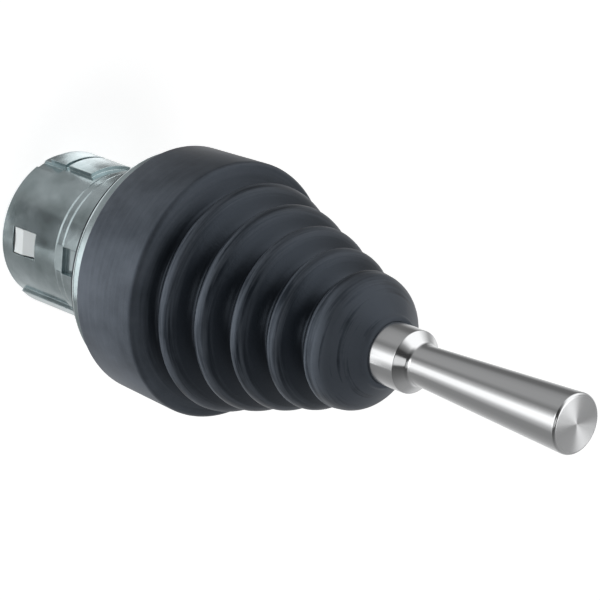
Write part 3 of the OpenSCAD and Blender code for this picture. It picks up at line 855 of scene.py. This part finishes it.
@dataclass
class Handle:
    """The turned handle: collar with a sloped end, neck and flared grip. Sizes in millimetres.

    Attributes:
        base_z: height of its lower end.
        top_z: height of its end face.
        collar_r: radius of the collar.
        collar_top: height at which the collar's end begins.
        collar_edge: radius of the edge there.
        slope: slope of the collar's end, in degrees.
        neck_r: radius of the neck.
        neck_z: height at which the neck begins.
        fillet: radius between the slope and the neck.
        end_r: radius of the grip at its end.
        end_round: radius of the end's edge.
        rim: width of the chamfer at the lower end.
        hole_r: radius of the hole, which is drawn without its thread.
        hole_depth: its depth.
        face_slack: how far below the end face a point still counts as part of it.
        sides: points round each ring.
        collar_steps: stretches along the collar's edge.
        fillet_steps: stretches along the fillet.
        end_steps: stretches along the end's edge.
        sharp_deg: edges that turn more than this stay sharp.
    """

    base_z: float = 38.0
    top_z: float = 78.5
    collar_r: float = 4.25
    collar_top: float = 50.3
    collar_edge: float = 0.25
    slope: float = 50.0
    neck_r: float = 2.75
    neck_z: float = 51.9
    fillet: float = 1.0
    end_r: float = 4.07
    end_round: float = 0.5
    rim: float = 0.3
    hole_r: float = 2.02
    hole_depth: float = 9.0
    face_slack: float = 0.03
    sides: int = 160
    collar_steps: int = 5
    fillet_steps: int = 8
    end_steps: int = 6
    sharp_deg: float = 28.0

    def profile(self) -> Profile:
        """Outline from the threaded hole, round the outside, to the end face.

        Returns:
            Its points.
        """
        hole_z, edge, end = self.base_z + self.hole_depth, self.collar_edge, self.end_round
        points = [(0.0, hole_z), (self.hole_r, hole_z), (self.hole_r, self.base_z)]
        points += [(self.collar_r - self.rim, self.base_z), (self.collar_r, self.base_z + self.rim)]
        points += arc((self.collar_r - edge, self.collar_top - edge), edge, 0, self.slope, self.collar_steps)
        foot = (self.neck_r + self.fillet, self.neck_z)
        points += arc(foot, self.fillet, 180 + self.slope, 180, self.fillet_steps)
        points += arc((self.end_r - end, self.top_z - end), end, 0, 90, self.end_steps)
        return points + [(0.0, self.top_z)]

    def build(self, wardrobe: Wardrobe) -> None:
        """Make the handle, and let it ride on the lever.

        Args:
            wardrobe: the finishes.
        """
        handle = lathe("turned_handle", self.profile(), self.sides, self.sharp_deg, closed=False)
        wardrobe.dress(handle, TURNED)
        handle.data.materials.append(wardrobe.faced)
        for face in handle.data.polygons:
            face.material_index = int(face.center.z > (self.top_z - self.face_slack) * MM)
        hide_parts("lever_handle")
        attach(handle, Body.LEVER.value)
        LOG.info("handle: %d points", len(handle.data.vertices))


@dataclass
class Spring:
    """A coil spring of round wire with flat ends. Sizes in millimetres.

    Attributes:
        node: the CAD node that it stands for.
        core: the CAD node that it is wound round.
        low_r: middle radius of the lowest turn.
        high_r: middle radius of the highest turn.
        wire_r: radius of the wire.
        turns: number of turns.
        flat: turns that lie flat at each end.
        bodies: the bodies that it spans, from its lower end to its upper end; their number sets how many
            tubes are wound.
        seam: share of its height at which it changes from one joint to the next.
        steps: rings in each turn.
        sides: points round the wire.
        sharp_deg: edges that turn more than this stay sharp.
    """

    node: str
    core: str
    low_r: float
    high_r: float
    wire_r: float
    turns: float
    flat: float
    bodies: tuple[Body, ...]
    seam: float = 0.33
    steps: int = 30
    sides: int = 10
    sharp_deg: float = 60.0

    def ring(self, turn: float, low: float, high: float) -> list[Vector]:
        """Points round the wire, after a number of turns from the lower end.

        Args:
            turn: how many turns up.
            low: height of the wire's middle at its lower end.
            high: height of the wire's middle at its upper end.

        Returns:
            The ring of points, round the spring's own axis.
        """
        share = min(1.0, max(0.0, (turn - self.flat) / (self.turns - 2 * self.flat)))
        radius = self.low_r + (self.high_r - self.low_r) * turn / self.turns
        way = Vector((math.cos(math.tau * turn), math.sin(math.tau * turn), 0))
        swings = [math.tau * k / self.sides for k in range(self.sides)]
        middle = way * radius + Vector((0, 0, low + (high - low) * share))
        return [middle + (way * math.cos(a) + Vector((0, 0, math.sin(a)))) * self.wire_r for a in swings]

    def wind(self, name: str, rings: list[list[Vector]], axis: Vector) -> bpy.types.Object:
        """Join the rings to one closed tube.

        Args:
            name: the new object's name.
            rings: the rings in order.
            axis: where the spring's own axis stands, in metres.

        Returns:
            The new object.
        """
        points = [axis + point * MM for ring in rings for point in ring]
        faces = [tuple(range(self.sides)), tuple(reversed(range(len(points) - self.sides, len(points))))]
        for i in range(len(rings) - 1):
            for k in range(self.sides):
                here, there = i * self.sides + k, i * self.sides + (k + 1) % self.sides
                faces.append((here, here + self.sides, there + self.sides, there))
        return form(name, points, faces, self.sharp_deg)

    def build(self, wardrobe: Wardrobe) -> None:
        """Wind one tube for each joint that the spring crosses.

        Args:
            wardrobe: the finishes.
        """
        low, high = (corner.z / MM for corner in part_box(self.node))
        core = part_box(self.core)
        axis = Vector(((core[0].x + core[1].x) / 2, (core[0].y + core[1].y) / 2, 0))
        inside = (low + self.wire_r, high - self.wire_r)
        stretches = len(self.bodies) - 1
        shares = [0.0, self.seam, 1.0] if stretches > 1 else [0.0, 1.0]
        reach = self.turns - 2 * self.flat
        cuts = [0.0] + [self.flat + reach * share for share in shares[1:-1]] + [self.turns]
        for i in range(stretches):
            first, last = cuts[i : i + 2]
            count = round((last - first) * self.steps)
            rings = [self.ring(first + (last - first) * k / count, *inside) for k in range(count + 1)]
            piece = self.wind(f"{self.node}_{i + 1}", rings, axis)
            wardrobe.dress(piece, SPRING_STEEL)
            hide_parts(self.node)
            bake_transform(piece)
        LOG.info("%s: %d tubes", self.node, stretches)


def springs() -> list[Spring]:
    """The return spring under its cup, and one spring round each plunger.

    Returns:
        The five springs.
    """
    chain = (Body.HOUSING, Body.GIMBAL, Body.LEVER)
    made = [Spring("return_spring", "lever_shaft", 7.3, 3.8, 0.45, 5.5, 0.6, chain)]
    for side in ("north", "east", "south", "west"):
        slide = (Body.HOUSING, Body(f"follower_{side}"))
        made.append(Spring(f"spring_{side}", f"plunger_{side}", 2.0, 2.0, 0.22, 6.0, 0.4, slide))
    return made


@dataclass(frozen=True)
class Lamp:
    """A soft round lamp that lights matte surfaces.

    Attributes:
        name: the object's name.
        turn: bearing from the camera's, in degrees.
        rise: height in degrees.
        distance: how far it hangs, in metres.
        size: its width, in metres.
        power: in watts.
    """

    name: str
    turn: float
    rise: float
    distance: float
    size: float
    power: float


@dataclass(frozen=True)
class Card:
    """A small card that only shows in reflections. Lengths in millimetres, angles in degrees.

    Attributes:
        name: the object's name.
        turn: bearing from the camera's.
        rise: height of the way to it.
        start: radius and height of the place that mirrors it.
        distance: how far it stands from there.
        size: width and height.
        glow: how bright it is, where 1 is white.
    """

    name: str
    turn: float
    rise: float
    start: tuple[float, float]
    distance: float
    size: tuple[float, float]
    glow: float


@dataclass(frozen=True)
class SoftBox:
    """A round soft box in the surround that glossy surfaces mirror.

    Attributes:
        turn: bearing from the camera's, in degrees.
        rise: height in degrees.
        inner: half angle of its even middle.
        outer: half angle at which it has faded out.
        level: how bright it is, up to BRIGHTEST.
    """

    turn: float
    rise: float
    inner: float
    outer: float
    level: float


Bands = tuple[tuple[float, float], ...]


@dataclass
class Studio:
    """Camera, pale floor and soft light. Lengths in millimetres, angles in degrees.

    Attributes:
        aim: what the camera looks at.
        azimuth: the camera's bearing.
        elevation: its height.
        roll: its turn about its own axis.
        distance: how far it stands from the aim.
        lens: its focal length.
        clip: the nearest distance that it sees.
        floor_half: half the floor's width.
        floor_z: height of the floor.
        floor_colour: colour of the floor, as sRGB hex.
        floor_rough: its roughness.
        floor_gloss: its specular level.
        floor_glow: what it gives off to the camera, so that it reads as white.
        card_colour: colour of the cards, as sRGB hex.
        lamp_z: height that the lamps aim at.
        ambient: brightness of the surround for matte surfaces.
        walls: heights, from -1 to 1, between which the low bands turn into the high ones.
        lamps: the lamps.
        cards: the cards.
        low_bands: what glossy surfaces mirror low down, as bearings from the camera's and brightness.
        high_bands: the same, high up.
        boxes: the soft boxes over the bands.
    """

    aim: tuple[float, float, float] = (11.9, -2.8, 16.1)
    azimuth: float = 156.5
    elevation: float = 43.1
    roll: float = 110.9
    distance: float = 548.3
    lens: float = 241.8
    clip: float = 10.0
    floor_half: float = 4000.0
    floor_z: float = -21.1
    floor_colour: str = "d8d8d8"
    floor_rough: float = 0.9
    floor_gloss: float = 0.1
    floor_glow: float = 0.84
    card_colour: str = "36393c"
    lamp_z: float = 20.0
    ambient: float = 0.12
    walls: tuple[float, float] = (-0.3, 0.15)
    lamps: tuple[Lamp, ...] = (
        Lamp("key", 28, -50, 0.9, 0.4, 10.5),
        Lamp("top", -95, 30, 0.9, 0.5, 0.5),
        Lamp("overhead", 70, 72, 1.0, 0.6, 2.2),
    )
    cards: tuple[Card, ...] = (
        Card("flag", 15, -43, (10.4, -15), 26, (24, 13), 0.1),
        Card("lug_card", -116, -43, (11, -17.6), 24, (26, 4.2), 1.7),
        Card("front_lug_card", -100, -43, (11, -13), 24, (6, 2.4), 1.0),
        Card("flange_card", 40, -43, (16.1, 2), 24, (18, 4), 1.9),
        Card("collar_card", 44, -43, (4.1, 47.4), 34, (15, 4.2), 1.9),
    )
    low_bands: Bands = (
        (-180, 0.75), (-160, 1.1), (-140, 0.58), (-122, 0.2), (-100, 0.2), (-80, 0.4),
        (-60, 0.46), (-36, 0.46), (-18, 0.28), (4, 0.75), (12, 1.55), (30, 1.55),
        (42, 0.8), (60, 0.34), (84, 0.34), (104, 0.42), (124, 0.56), (145, 0.8),
    )
    high_bands: Bands = (
        (-180, 0.42), (-160, 0.42), (-140, 0.5), (-112, 1.6), (-70, 1.6), (-48, 0.4),
        (-24, 0.06), (36, 0.06), (80, 0.2), (112, 0.4), (150, 0.5),
    )
    boxes: tuple[SoftBox, ...] = (
        SoftBox(0, -90, 18, 30, 1.26),
        SoftBox(-155, 66, 12, 25, 2.0),
        SoftBox(15, -14, 15, 26, 1.9),
        SoftBox(24, 18, 8, 20, 0.7),
        SoftBox(22, 53, 8, 15, 1.15),
    )

    def direction(self, turn: float, rise: float) -> Vector:
        """Way towards a place round the object.

        Args:
            turn: bearing from the camera's, in degrees.
            rise: height in degrees.

        Returns:
            The unit vector.
        """
        bearing, height = math.radians(self.azimuth + turn), math.radians(rise)
        level = math.cos(height)
        return Vector((level * math.cos(bearing), level * math.sin(bearing), math.sin(height)))

    def place_camera(self) -> None:
        """Look along the lever from the front, with the camera rolled so that the lever lies."""
        turn = math.radians(self.azimuth)
        back = self.direction(0, self.elevation)
        right = Vector((-math.sin(turn), math.cos(turn), 0))
        up = back.cross(right)
        basis = Matrix((right, up, back)).transposed() @ Matrix.Rotation(math.radians(self.roll), 3, "Z")
        camera = bpy.data.cameras.new("camera")
        camera.lens = self.lens
        camera.clip_start = self.clip * MM
        holder = set_up("camera", camera)
        place = (Vector(self.aim) + back * self.distance) * MM
        holder.matrix_world = Matrix.Translation(place) @ basis.to_4x4()
        bpy.context.scene.camera = holder

    @staticmethod
    def sheet(name: str, half_w: float, half_h: float, height: float, stuff: str) -> bpy.types.Object:
        """Make a flat sheet, level at first, for the floor or a card.

        Args:
            name: the object's name.
            half_w: half its width, in metres.
            half_h: half its depth, in metres.
            height: its height, in metres.
            stuff: the name of its material.

        Returns:
            The new object.
        """
        mesh = bpy.data.meshes.new(name)
        corners = [(-half_w, -half_h), (half_w, -half_h), (half_w, half_h), (-half_w, half_h)]
        mesh.from_pydata([(x, y, height) for x, y in corners], [], [(0, 1, 2, 3)])
        material = bpy.data.materials.new(stuff)
        material.use_nodes = True
        mesh.materials.append(material)
        return set_up(name, mesh)

    def lay_floor(self) -> None:
        """A pale floor that reads as white and still takes the object's shadow."""
        half = self.floor_half * MM
        floor = self.sheet("floor", half, half, self.floor_z * MM, "pale_floor")
        tree = floor.data.materials[0].node_tree
        shader = tree.nodes["Principled BSDF"]
        shader.inputs["Base Color"].default_value = linear(self.floor_colour)
        shader.inputs["Roughness"].default_value = self.floor_rough
        shader.inputs["Specular IOR Level"].default_value = self.floor_gloss
        seen = add_node(tree, "LightPath").outputs["Is Camera Ray"]
        glow = add_node(tree, "Emission", {"Color": linear(WHITE), "Strength": self.floor_glow})
        total = add_node(tree, "AddShader", {0: shader.outputs[0], 1: glow.outputs[0]})
        choice = add_node(tree, "MixShader", {0: seen, 1: shader.outputs[0], 2: total.outputs[0]})
        tree.links.new(choice.outputs[0], tree.nodes["Material Output"].inputs["Surface"])
        floor.visible_glossy = False
        floor.visible_shadow = False

    def hang_lamp(self, lamp: Lamp) -> None:
        """Hang a lamp, aimed at the middle of the boot.

        Args:
            lamp: the lamp.
        """
        data = bpy.data.lights.new(lamp.name, "AREA")
        data.shape = "DISK"
        data.size = lamp.size
        data.energy = lamp.power
        holder = set_up(lamp.name, data)
        way = self.direction(lamp.turn, lamp.rise)
        place = Matrix.Translation(way * lamp.distance + Vector((0, 0, self.lamp_z * MM)))
        holder.matrix_world = place @ way.to_track_quat("Z", "Y").to_matrix().to_4x4()
        holder.visible_glossy = False

    def hang_card(self, card: Card) -> None:
        """Hang a small card beside the object, which its metal mirrors as a dark or bright patch.

        Args:
            card: the card.
        """
        half_w, half_h = (side / 2 * MM for side in card.size)
        holder = self.sheet(card.name, half_w, half_h, 0, card.name)
        shader = holder.data.materials[0].node_tree.nodes["Principled BSDF"]
        shader.inputs["Base Color"].default_value = linear(self.card_colour)
        shader.inputs["Roughness"].default_value = 1.0
        shader.inputs["Emission Color"].default_value = linear(WHITE)
        shader.inputs["Emission Strength"].default_value = card.glow
        way = self.direction(card.turn, card.rise)
        start = self.direction(card.turn / 2, 0) * card.start[0] + Vector((0, 0, card.start[1]))
        place = Matrix.Translation((start + way * card.distance) * MM)
        holder.matrix_world = place @ way.to_track_quat("Z", "Y").to_matrix().to_4x4()
        holder.visible_camera = False
        holder.visible_diffuse = False
        holder.visible_shadow = False

    def bands(self, tree: Tree, share: Socket, bands: Bands) -> Socket:
        """Brightness of the surround by bearing.

        Args:
            tree: the world's node tree.
            share: the bearing, from 0 to 1.
            bands: bearings from the camera's, and brightness.

        Returns:
            The brightness, as a tone.
        """
        stops = sorted((((turn + self.azimuth + 180) % 360) / 360, grey(level)) for turn, level in bands)
        return add_node(tree, "ValToRGB", {"Fac": share}, stops).outputs["Color"]

    def soft_box(self, tree: Tree, place: Socket, box: SoftBox, under: Socket) -> Socket:
        """Lay a soft box over the surround.

        Args:
            tree: the world's node tree.
            place: the way that is looked along.
            box: the soft box.
            under: the tone without it.

        Returns:
            The tone with it.
        """
        way = self.direction(box.turn, box.rise)
        near = add_node(tree, "VectorMath", {0: place, 1: way}, operation="DOT_PRODUCT").outputs["Value"]
        reach = {"From Min": math.cos(math.radians(box.outer)), "From Max": math.cos(math.radians(box.inner))}
        share = add_node(tree, "MapRange", {"Value": near, **reach}, interpolation_type="SMOOTHSTEP")
        mixed = {"Fac": share.outputs["Result"], "Color1": under, "Color2": grey(box.level)}
        return add_node(tree, "MixRGB", mixed).outputs[0]

    def surround(self) -> None:
        """World: white to the camera, even for matte surfaces, soft boxes and gaps for glossy ones."""
        world = bpy.data.worlds.new("studio")
        bpy.context.scene.world = world
        world.use_nodes = True
        tree = world.node_tree
        tree.nodes.clear()
        place = add_node(tree, "TexCoord").outputs["Generated"]
        split = add_node(tree, "SeparateXYZ", {0: place}).outputs
        bearing = add_node(tree, "Math", {0: split["Y"], 1: split["X"]}, operation="ARCTAN2").outputs[0]
        circle = {"Value": bearing, "From Min": -math.pi, "From Max": math.pi}
        share = add_node(tree, "MapRange", circle).outputs["Result"]
        heights = {"Value": split["Z"], "From Min": self.walls[0], "From Max": self.walls[1]}
        rise = add_node(tree, "MapRange", heights, interpolation_type="SMOOTHSTEP").outputs["Result"]
        low = self.bands(tree, share, self.low_bands)
        high = self.bands(tree, share, self.high_bands)
        shone = add_node(tree, "MixRGB", {"Fac": rise, "Color1": low, "Color2": high}).outputs[0]
        for box in self.boxes:
            shone = self.soft_box(tree, place, box, shone)
        seen = add_node(tree, "LightPath").outputs
        mirrored = add_node(tree, "Background", {"Color": shone, "Strength": BRIGHTEST}).outputs[0]
        even = add_node(tree, "Background", {"Color": linear(WHITE), "Strength": self.ambient}).outputs[0]
        plain = add_node(tree, "Background", {"Color": linear(WHITE), "Strength": 1.0}).outputs[0]
        lit = add_node(tree, "MixShader", {0: seen["Is Glossy Ray"], 1: even, 2: mirrored}).outputs[0]
        shown = add_node(tree, "MixShader", {0: seen["Is Camera Ray"], 1: lit, 2: plain}).outputs[0]
        add_node(tree, "OutputWorld", {"Surface": shown})

    def build(self) -> None:
        """Set the whole stage."""
        bpy.context.scene.view_settings.view_transform = "Standard"
        self.place_camera()
        self.lay_floor()
        for card in self.cards:
            self.hang_card(card)
        for lamp in self.lamps:
            self.hang_lamp(lamp)
        self.surround()
        LOG.info("studio: camera %.0f mm away", self.distance)


def main() -> None:
    """Load the frame, set the stage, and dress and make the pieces."""
    logging.basicConfig(level=logging.INFO, format="%(name)s: %(message)s")
    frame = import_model()
    Studio().build()
    wardrobe = Wardrobe()
    wardrobe.dress_nodes(frame)
    Boot().build(wardrobe)
    Handle().build(wardrobe)
    for spring in springs():
        spring.build(wardrobe)
    LOG.info("sizes written")


if __name__ == "__main__":
    main()
